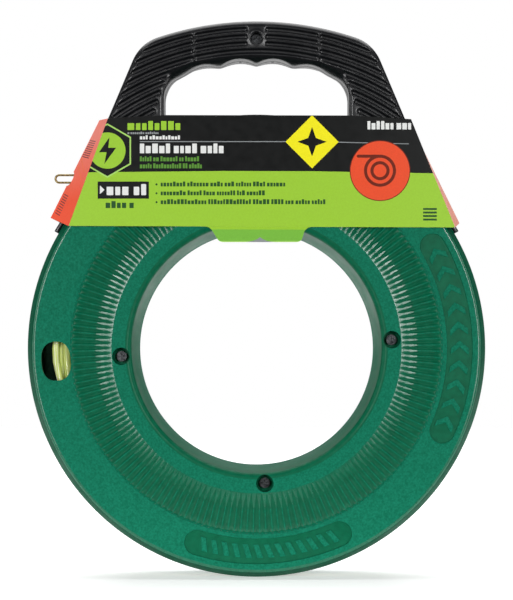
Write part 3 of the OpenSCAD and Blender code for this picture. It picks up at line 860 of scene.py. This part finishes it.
def printed(name, outline, prints, ground, lay):
    """A card piece with its print as areas of its face: lay(points, depth) puts flat points in place."""
    loops = [(outline, ground)] + prints
    points, faces, base = [], [], 0
    for loop, _ in loops:
        loop = np.asarray(loop, float)
        area = np.sum(loop[:, 0] * np.roll(loop[:, 1], -1) - np.roll(loop[:, 0], -1) * loop[:, 1])
        loop = loop if area > 0 else loop[::-1]
        points += [Vector(p) for p in loop]
        faces.append(list(range(base, base + len(loop))))
        base += len(loop)
    flat, _, cells, _, _, origin = delaunay_2d_cdt(points, [], faces, 1, 1e-5)
    used = sorted({i for c, o in zip(cells, origin) if 0 in o for i in c})
    place_of = {i: k for k, i in enumerate(used)}
    kept = [([place_of[i] for i in c], max(o)) for c, o in zip(cells, origin) if 0 in o]
    names = sorted({ink_name for _, ink_name in loops} | {"board"})
    flat = np.array([tuple(flat[i]) for i in used])
    front, back = lay(flat, 0.0), lay(flat, CARD_T - 0.08)
    count = len(flat)
    mesh_faces = [c for c, _ in kept] + [[i + count for i in c[::-1]] for c, _ in kept]
    indices = [names.index(loops[top][1]) for _, top in kept] + [names.index("board")] * len(kept)
    edges = [edge for c, _ in kept for edge in zip(c, c[1:] + c[:1])]
    reverse = {(b, a) for a, b in edges}
    for a, b in edges:
        if (a, b) not in reverse:
            mesh_faces.append([b, a, a + count, b + count])
            indices.append(names.index("board"))
    return new_mesh(name, np.vstack((front, back)), mesh_faces, [INKS[n] for n in names], indices)


def block(x0, y0, x1, y1, corner=0.0):
    if not corner:
        return [(x0, y0), (x1, y0), (x1, y1), (x0, y1)]
    c = corner
    return [(x0 + c, y0), (x1 - c, y0), (x1, y0 + c), (x1, y1 - c),
            (x1 - c, y1), (x0 + c, y1), (x0, y1 - c), (x0, y0 + c)]


def disc(x, y, r, steps=48):
    return arc((x, y), r, 0, 360 * (1 - 1 / steps), steps - 1)


def filler_text(x, y, height, words, colour, length):
    """A row of plain blocks in the place of wording: words gives the number of blocks in each word."""
    widths = [[draw.uniform(0.75, 1.25) for _ in range(word)] for word in words]
    unit = length / (sum(map(sum, widths)) + 0.3 * (sum(words) - len(words)) + 0.8 * (len(words) - 1))
    marks = []
    for word in widths:
        for width in word:
            tall = height * draw.choice((0.76, 0.76, 1.0))
            marks.append((block(x, y, x + width * unit, y + tall, min(unit, height) * 0.07), colour))
            x += (width + 0.3) * unit
        x += 0.5 * unit
    return marks


def star(x, y, r_out, r_in, points):
    return [(x, y) + polar(r_in if i % 2 else r_out, 90 + 180 * i / points) for i in range(2 * points)]


def front_prints(panel):
    """The label's areas, in millimetres from the case axis."""
    left, right, low, top = panel[0][0], panel[1][0], panel[0][1], panel[2][1]
    band = low + 0.5 * (top - low)
    rule = low + 0.79 * (top - low)
    bow = 1.1
    edge = [(left, band), (left + 110, band + bow), (right - 100, band + bow - 0.2), (right, band - 0.8)]
    prints = [(edge + [(right + 5, top + 9), (left - 5, top + 9)], "black")]
    # A hexagon emblem with a bolt
    cx, cy = left + 27.5, band + 15.6
    prints += [(star(cx, cy, 19.4, 19.4, 3), "pale"), (star(cx, cy, 18.2, 18.2, 3), "black")]
    prints += [(disc(cx, cy, 12.9), "lime")]
    prints += [([(cx + 1.5, cy + 9.5), (cx - 6, cy - 1.2), (cx - 0.6, cy - 1.2), (cx - 2.2, cy - 9.6),
                 (cx + 6.2, cy + 2), (cx + 0.6, cy + 2)], "black")]
    text_x, title_x = left + 41.8, left + 50.6
    prints += filler_text(text_x, rule + 8.2, 6.4, [8], "lime", 37.5)
    prints += filler_text(text_x, rule + 5.3, 1.7, [1, 7, 7], "grey", 22)
    prints += filler_text(title_x, rule + 1.5, 2.9, [3, 10], "white", 28.5)
    prints += [([(title_x, rule - 0.35), (right - 100, rule - 0.35), (right - 33, rule - 1.9),
                 (right - 33, rule - 1.4), (right - 100, rule + 0.25), (title_x, rule + 0.25)], "grey")]
    prints += filler_text(title_x, rule - 8.3, 6.9, [5, 4, 4], "white", 59.5)
    prints += filler_text(title_x, rule - 14.0, 3.5, [5, 2, 6, 2, 5], "dark_lime", 42)
    prints += filler_text(title_x, rule - 19.0, 3.5, [5, 11, 2, 5], "dark_lime", 44)
    # The length panel and its pointer
    box_x, box_y = left + 20.6, band - 18.6
    prints += [(block(box_x, box_y, box_x + 36.4, box_y + 12.2), "black")]
    tip_x, tip_y = box_x + 4.8, box_y + 6.3
    prints += [([(tip_x - 3.2, tip_y - 3.1), (tip_x, tip_y), (tip_x - 3.2, tip_y + 3.1)], "white")]
    prints += filler_text(box_x + 6.4, box_y + 2.5, 7.9, [3, 2], "white", 28)
    prints += filler_text(box_x + 5.6, box_y - 6.7, 5.0, [4, 1], "dark_green", 20)
    rows = (([8, 7, 4, 3, 6, 4, 6], 88.5), ([8, 5, 4, 7, 3, 6], 74), ([14, 14, 5, 4, 3, 5, 5], 117))
    for row, (words, length) in enumerate(rows):
        y = band - 9.9 - row * 6.3
        prints += [(disc(box_x + 41.8, y + 1.4, 0.75, 12), "dark_green")]
        prints += filler_text(box_x + 44.8, y, 3.5, words, "dark_green", length)
    # The diamond flash, the round flash and the small marks at the right
    fx, fy, half = left + 173, rule - 0.2, 18.9
    prints += [([(fx + half, fy), (fx, fy + half), (fx - half, fy), (fx, fy - half)], "yellow")]
    prints += [(star(fx, fy, 10.5, 3.9, 4), "black")]
    rx, ry, rr = left + 221.3, band + 1.3, 21.6
    prints += [(disc(rx, ry, rr, 72), "maroon"), (disc(rx, ry, rr - 0.6, 72), "orange")]
    for outer, inner in ((11.4, 9.2), (6.8, 4.6)):
        prints += [(disc(rx, ry, outer), "maroon"), (disc(rx, ry, inner), "orange")]
    prints += [(block(rx - 16.6, ry + 9.2, rx, ry + 11.4, 0.8), "maroon")]
    prints += filler_text(right - 62.3, rule + 8.6, 6.0, [6, 3], "white", 31)
    mark_x = right - 22.8
    for row in range(4):
        y = low + 3.8 + 2.5 * row
        prints += [(block(mark_x, y, mark_x + 9.8, y + 1.4), "dark_green")]
    return prints


def panel_outline(node):
    """A flat card panel's outline from its CAD mesh, anticlockwise from its low left corner."""
    flat = np.unique(np.round(node_points(node)[:, [0, 2]], 2), axis=0)
    from_middle = flat - (flat.min(0) + flat.max(0)) / 2
    order = np.argsort(np.arctan2(from_middle[:, 1], from_middle[:, 0]))
    return [tuple(p) for p in flat[order]]


def bend(a, b, c, steps=8):
    """A curve from a to c that leaves towards b and arrives from b."""
    a, b, c = (np.array(point, float) for point in (a, b, c))
    return [(1 - t) ** 2 * a + 2 * t * (1 - t) * b + t * t * c for t in np.linspace(0, 1, steps + 1)]


def rounded(corners, r):
    """A convex outline with round corners."""
    out = []
    corners = [np.array(c, float) for c in corners]
    for before, at, after in zip(corners[-1:] + corners[:-1], corners, corners[1:] + corners[:1]):
        one, two = before - at, after - at
        one, two = one / np.linalg.norm(one), two / np.linalg.norm(two)
        half = math.acos(np.clip(one @ two, -1, 1)) / 2
        cut = r / math.tan(half)
        out += bend(at + one * cut, at, at + two * cut, 6)
    return out


def card_panels():
    panel = panel_outline("card_front_panel")

    def lay_front(p, depth):
        return np.column_stack((p, np.full(len(p), CARD_Z - 0.05 - depth)))

    def lay_rear(p, depth):
        return np.column_stack((-p[:, 0], p[:, 1], np.full(len(p), -CARD_Z + 0.05 + depth)))

    outline = rounded(panel, 0.9)
    front = printed("card_front", outline, front_prints(panel), "lime", lay_front)
    settle(front, "handle", "card_print", "card_front_panel")
    mirrored = [(-x, y) for x, y in panel[1::-1] + panel[:1:-1]]
    rear = printed("card_rear", rounded(mirrored, 0.9), rear_prints(mirrored), "lime", lay_rear)
    settle(rear, "handle", "card_print", "card_rear_panel")


def rear_prints(panel):
    """The back of the sleeve: a black band, filler lines and a white patch with plain bars."""
    left, right, low, top = panel[0][0], panel[1][0], panel[0][1], panel[2][1]
    band = low + 0.62 * (top - low)
    prints = [([(left, band), (right, band), (right + 5, top + 9), (left - 5, top + 9)], "black")]
    prints += filler_text(left + 40, band + 9, 7.5, [5, 4, 4], "white", 62)
    for column in range(2):
        for row in range(5):
            words = [draw.randint(3, 8) for _ in range(6)]
            x, y = left + 40 + 92 * column, band - 8.5 - 6.2 * row
            prints += filler_text(x, y, 2.8, words, "dark_green", 80)
    prints += [(block(right - 46, low + 6, right - 22, low + 24), "white")]
    for i in range(9):
        x = right - 44 + 2.3 * i
        prints += [(block(x, low + 9, x + draw.choice((0.6, 1.1, 1.5)), low + 21), "black")]
    return prints


def card_tab():
    """The tab that bends back from the front panel: flared sides, and a foot of two rounded halves with a
    cusp between them; the notch under the cusp is printed grey as painted shade, not cut.
    """
    low, high = node_size("card_front_tab")
    foot = low[1] - high[1] + 0.3
    edge_left, edge_right = panel_outline("card_front_panel")[:2]

    def flank(top, at, way):
        return (bend((top, 0), (top + way * 3.6, 0), (top + way * 5.6, -3.4))
                + bend((at - way * 1.4, foot + 2.2), (at, foot), (at + way * 3, foot)))

    foot_left, foot_right, cusp = low[0] + 10.2, high[0] - 8.4, 2.5
    body = flank(low[0], foot_left, 1) + flank(high[0], foot_right, -1)[::-1]
    # Painted shade: the notch under the cusp is printed grey for the shade seen through it.
    notch_shade = (bend((cusp - 11, foot), (cusp - 3, foot + 0.5), (cusp, foot + 3.4))
             + bend((cusp, foot + 3.4), (cusp + 3, foot + 0.5), (cusp + 11, foot))[1:])
    # Painted highlight: a pale strip along the foot, for the bent edge catching light.
    rim = block(foot_left - 1, foot - 1, foot_right + 1, foot + 0.7)
    fold = block(low[0] - 1, -1.9, high[0] + 1, 1)
    lean = math.tan(math.radians(10))

    def lay(p, depth):
        share = (p[:, 0] - edge_left[0]) / (edge_right[0] - edge_left[0])
        edge = edge_left[1] + share * (edge_right[1] - edge_left[1]) - 0.02
        top = high[1] + p[:, 1] + (edge - high[1]) * (1 - p[:, 1] / foot)
        return np.column_stack((p[:, 0], top, CARD_Z - 0.08 - depth + lean * p[:, 1]))

    tab = printed("card_tab", body, [(fold, "lime"), (rim, "pale"), (notch_shade, "grey")], "tab_green", lay)
    settle(tab, "handle", "card_print", "card_front_tab")


def flap(name, panel_edge, side, ground, prints, notched):
    """A side flap from the panel's edge to the middle plane: flat points are (share of the way, height)."""
    node = name + "_flap"
    front = 1 if node_size(node)[0][2] > -1 else -1
    flip = side * front > 0
    edge_low, edge_high = (np.array(end) for end in panel_edge)
    co = node_points(node)
    crease = co[np.abs(co[:, 1]) < 0.02][:, [0, 2]]
    crease_low, crease_high = crease[crease[:, 1].argmin()], crease[crease[:, 1].argmax()]
    outer = np.array([side * CARD_T / 2, 0])

    def lay(p, depth):
        t, v = 1 - p[:, :1] if flip else p[:, :1], p[:, 1:]
        start = edge_low + v * (edge_high - edge_low)
        end = crease_low - outer + v * (crease_high - crease_low)
        flat = start + t * (end - start)
        inwards = -side * (depth - 0.1)
        z = front * (CARD_Z - CARD_T) * (1 - t[:, 0])
        return np.column_stack((flat[:, 0] + inwards, flat[:, 1], z))

    outline = [(0.0, 0.0), (1.0, 0.0)]
    if notched:
        up = (EXIT_UP - crease_low[1]) / (crease_high[1] - crease_low[1])
        outline += [(1 + 0.17 * x, up + 0.07 * y) for x, y in arc((0, 0), 1, -90, -270, 12)]
    outline += [(1.0, 1.0), (0.0, 1.0)]
    if flip:
        outline = [(1 - t, v) for t, v in outline]
        prints = [([(1 - t, v) for t, v in loop], colour) for loop, colour in prints]
    settle(printed(name, outline, prints, ground, lay), "handle", "card_flap", node)


def flap_prints():
    """Glue patches as small hatching, and two bright slanted lines."""
    marks = []
    for low, high, t0, t1 in ((0.05, 0.26, 0.62, 0.9), (0.62, 0.8, 0.35, 0.95)):
        rows = 9
        for i in range(rows):
            v = low + (high - low) * i / rows
            marks.append(([(t0, v), (t1, v + 0.008), (t1, v + 0.016), (t0, v + 0.008)], "patch"))
    for v in (0.42, 0.49):
        marks.append(([(0.25, v), (0.3, v), (0.95, v + 0.12), (0.9, v + 0.12)], "bright"))
    return marks


def card_flaps():
    panel = panel_outline("card_front_panel")
    left, right = (panel[0], panel[-1]), (panel[1], panel[2])
    for half in ("front", "rear"):
        marks = flap_prints() if half == "front" else []
        flap("card_left_" + half, left, -1, "salmon", marks, True)
        flap("card_right_" + half, right, 1, "pale_salmon", [], False)


# ---- CAD nodes that stay, with better finishes ----

def finish_fittings():
    steel = ("case_screws", "grip_screw", "leg_screws")
    brass = ("inner_end_ferrule", "inner_end_eye", "tip_ferrule", "pulling_eyelet")
    finishes = {**dict.fromkeys(steel, BLACK_STEEL), **dict.fromkeys(brass, BRASS),
                "tape_exit_guide": BLACK, "tape_end": NYLON}
    for node, material in finishes.items():
        piece = frame["nodes"][node]
        piece.data.materials.clear()
        piece.data.materials.append(material)
        if material is not NYLON:
            edge = piece.modifiers.new("soft_edge", "BEVEL")
            edge.width = 0.2 * MM
            edge.segments = 2
            edge.limit_method = "ANGLE"


# ---- Studio ----

def area_light(name, at, size, power, aim=(0, 0, 0.03)):
    lamp = bpy.data.lights.new(name, "AREA")
    lamp.shape = "RECTANGLE"
    lamp.size, lamp.size_y = size
    lamp.energy = power
    light = put_in_scene(name, lamp)
    light.location = at
    light.rotation_euler = (Vector(aim) - Vector(at)).to_track_quat("-Z", "Y").to_euler()


def studio():
    """Four small softboxes in a ring round the camera, a large light overhead and one at each side."""
    distance, off_axis = 1.9, math.radians(27)
    softbox, overhead, side_light = (0.34, 0.34), (3.0, 2.4), (0.5, 1.2)
    for name, turn, power in (("upper_left", 155, 9.4), ("lower_left", 192, 5.6),
                              ("upper_right", 30, 9.0), ("lower_right", -4, 6.4)):
        x, z = polar(distance * math.sin(off_axis), turn)
        area_light(name, (x, -distance * math.cos(off_axis), z), softbox, power)
    area_light("overhead", (0, 0.75, 2.0), overhead, 66, (0, 0.75, 0))
    area_light("side_left", (-1.9, -0.45, 0.3), side_light, 7)
    area_light("side_right", (1.9, -0.45, 0.4), side_light, 6)


def surroundings():
    """White to look at, and for the light that reaches the object, bright behind it and dim in front."""
    world = bpy.data.worlds.new("studio")
    bpy.context.scene.world = world
    world.use_nodes = True
    tree = world.node_tree
    background = tree.nodes["Background"]
    seen = tree.nodes.new("ShaderNodeBackground")
    seen.inputs["Strength"].default_value = 1.0
    for made in (background, seen):
        made.inputs["Color"].default_value = (1, 1, 1, 1)
    direction = tree.nodes.new("ShaderNodeSeparateXYZ")
    tree.links.new(tree.nodes.new("ShaderNodeTexCoord").outputs["Generated"], direction.inputs[0])
    level = tree.nodes.new("ShaderNodeMapRange")
    for socket, value in (("From Min", 0.80), ("From Max", 0.97), ("To Min", 0.03), ("To Max", 0.90)):
        level.inputs[socket].default_value = value
    tree.links.new(direction.outputs["Y"], level.inputs["Value"])
    tree.links.new(level.outputs["Result"], background.inputs["Strength"])
    paths = tree.nodes.new("ShaderNodeLightPath")
    mix = tree.nodes.new("ShaderNodeMixShader")
    tree.links.new(paths.outputs["Is Camera Ray"], mix.inputs["Fac"])
    tree.links.new(background.outputs["Background"], mix.inputs[1])
    tree.links.new(seen.outputs["Background"], mix.inputs[2])
    tree.links.new(mix.outputs["Shader"], tree.nodes["World Output"].inputs["Surface"])


def floor():
    s = Shader("pale_floor", Roughness=0.8, Emission_Color=(1, 1, 1, 1), Emission_Strength=0.45)
    pale, paler = (0.90, 0.90, 0.90), (0.94, 0.94, 0.94)
    s.link(s.ramp(s.noise(300), [(0.2, pale), (0.8, paler)]), "Base Color")
    side, front, back, z = 2.2, -0.14, 2.2, cad_box[0].z - 0.0002
    corners = [(-side, front, z), (side, front, z), (side, back, z), (-side, back, z)]
    mesh = bpy.data.meshes.new("floor")
    mesh.from_pydata(corners, [], [(0, 1, 2, 3)])
    mesh.materials.append(s.material)
    made = put_in_scene("floor", mesh)


def camera():
    """Level with the case's axis and square to the front, shifted so that the case sits a little low."""
    data = bpy.data.cameras.new("camera")
    data.sensor_width = 36.0
    data.lens = 98.8
    data.shift_y = 0.08
    made = put_in_scene("camera", data)
    made.location = (0, -1.2, 0)
    made.rotation_euler = (math.pi / 2, 0, 0)
    bpy.context.scene.camera = made


camera()
studio()
surroundings()
floor()
bpy.context.scene.view_settings.view_transform = "Standard"

front_shell()
rear_shell()
badge_marks()
wound_tape()
lead_tape()
tail_tape()
handle_half("grip_front", 1, "handle_front_half")
handle_half("grip_rear", -1, "handle_rear_half")
card_panels()
card_tab()
card_flaps()
finish_fittings()
